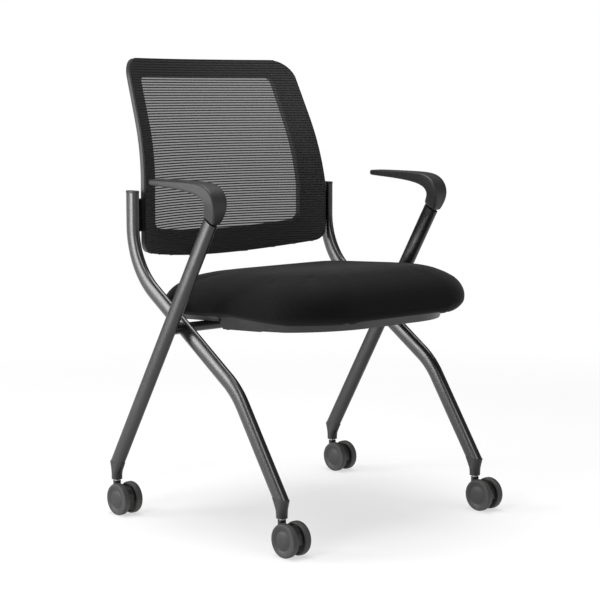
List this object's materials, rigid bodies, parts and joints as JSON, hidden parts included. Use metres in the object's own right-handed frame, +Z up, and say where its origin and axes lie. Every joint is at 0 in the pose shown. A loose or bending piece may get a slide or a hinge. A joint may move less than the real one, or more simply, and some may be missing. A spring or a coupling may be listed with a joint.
{
  "type": "nesting chair",
  "caption": "Nesting chair on twin-wheel casters with crossed tube side frames, armrests, a hollow mesh back and a padded seat that flips up.",
  "frame": {"origin": "on the floor, midway between the four caster stems", "axes": "+Z up; the sitter faces -Y; +X to the sitter's left"},
  "size_m": [0.6008, 0.613, 0.854],
  "materials": {
    "tube_gloss": "gloss black enamel",
    "tube_satin": "satin dark grey powder coat",
    "bumper_rubber": "matt black",
    "arm_plastic": "fine grained charcoal",
    "back_plastic": "satin dark grey",
    "mesh_fabric": "black ribbed mesh, sheer between the ribs",
    "pan_plastic": "satin dark grey",
    "hinge_plastic": "satin black",
    "plywood": "raw",
    "cushion_fabric": "black woven cloth",
    "caster_plastic": "satin black, bright steel stem",
    "wheel": "dark grey hub, soft warm grey tread"
  },
  "bodies": {
    "frame": {"front_leg_left": "tube_gloss", "front_leg_right": "tube_gloss", "rear_leg_left": "tube_satin", "rear_leg_right": "tube_satin", "cross_tube": "tube_satin", "bumper_left": "bumper_rubber", "bumper_right": "bumper_rubber", "armrest_left": "arm_plastic", "armrest_right": "arm_plastic", "back_frame": "back_plastic", "back_mesh": "mesh_fabric", "back_bracket_left": "tube_satin", "back_bracket_right": "tube_satin"},
    "seat": {"seat_pan": "pan_plastic", "seat_board": "plywood", "seat_cushion": "cushion_fabric", "hinge_clamp_left": "hinge_plastic", "hinge_clamp_right": "hinge_plastic"},
    "front_left_caster": {"front_left_fork": "caster_plastic"},
    "front_left_outer": {"front_left_outer_wheel": "wheel"},
    "front_left_inner": {"front_left_inner_wheel": "wheel"},
    "front_right_caster": {"front_right_fork": "caster_plastic"},
    "front_right_outer": {"front_right_outer_wheel": "wheel"},
    "front_right_inner": {"front_right_inner_wheel": "wheel"},
    "rear_left_caster": {"rear_left_fork": "caster_plastic"},
    "rear_left_outer": {"rear_left_outer_wheel": "wheel"},
    "rear_left_inner": {"rear_left_inner_wheel": "wheel"},
    "rear_right_caster": {"rear_right_fork": "caster_plastic"},
    "rear_right_outer": {"rear_right_outer_wheel": "wheel"},
    "rear_right_inner": {"rear_right_inner_wheel": "wheel"}
  },
  "joints": [
    {"name": "seat_flip", "type": "hinge", "parent": "frame", "child": "seat", "pos_m": [0, 0.05, 0.36559], "axis": [-1, 0, 0], "range_deg": [0, 82]},
    {"name": "front_left_swivel", "type": "hinge", "parent": "frame", "child": "front_left_caster", "pos_m": [0.2465, -0.2162, 0.07], "axis": [0, 0, 1], "continuous": true},
    {"name": "front_left_outer_roll", "type": "hinge", "parent": "front_left_caster", "child": "front_left_outer", "pos_m": [0.2608, -0.2402, 0.03], "axis": [1, 0, 0], "continuous": true},
    {"name": "front_left_inner_roll", "type": "hinge", "parent": "front_left_caster", "child": "front_left_inner", "pos_m": [0.2322, -0.2402, 0.03], "axis": [1, 0, 0], "continuous": true},
    {"name": "front_right_swivel", "type": "hinge", "parent": "frame", "child": "front_right_caster", "pos_m": [-0.2465, -0.2162, 0.07], "axis": [0, 0, 1], "continuous": true},
    {"name": "front_right_outer_roll", "type": "hinge", "parent": "front_right_caster", "child": "front_right_outer", "pos_m": [-0.2608, -0.2402, 0.03], "axis": [1, 0, 0], "continuous": true},
    {"name": "front_right_inner_roll", "type": "hinge", "parent": "front_right_caster", "child": "front_right_inner", "pos_m": [-0.2322, -0.2402, 0.03], "axis": [1, 0, 0], "continuous": true},
    {"name": "rear_left_swivel", "type": "hinge", "parent": "frame", "child": "rear_left_caster", "pos_m": [0.2796, 0.2162, 0.07], "axis": [0, 0, 1], "continuous": true},
    {"name": "rear_left_outer_roll", "type": "hinge", "parent": "rear_left_caster", "child": "rear_left_outer", "pos_m": [0.2939, 0.1922, 0.03], "axis": [1, 0, 0], "continuous": true},
    {"name": "rear_left_inner_roll", "type": "hinge", "parent": "rear_left_caster", "child": "rear_left_inner", "pos_m": [0.2653, 0.1922, 0.03], "axis": [1, 0, 0], "continuous": true},
    {"name": "rear_right_swivel", "type": "hinge", "parent": "frame", "child": "rear_right_caster", "pos_m": [-0.2796, 0.2162, 0.07], "axis": [0, 0, 1], "continuous": true},
    {"name": "rear_right_outer_roll", "type": "hinge", "parent": "rear_right_caster", "child": "rear_right_outer", "pos_m": [-0.2939, 0.1922, 0.03], "axis": [1, 0, 0], "continuous": true},
    {"name": "rear_right_inner_roll", "type": "hinge", "parent": "rear_right_caster", "child": "rear_right_inner", "pos_m": [-0.2653, 0.1922, 0.03], "axis": [1, 0, 0], "continuous": true}
  ]
}
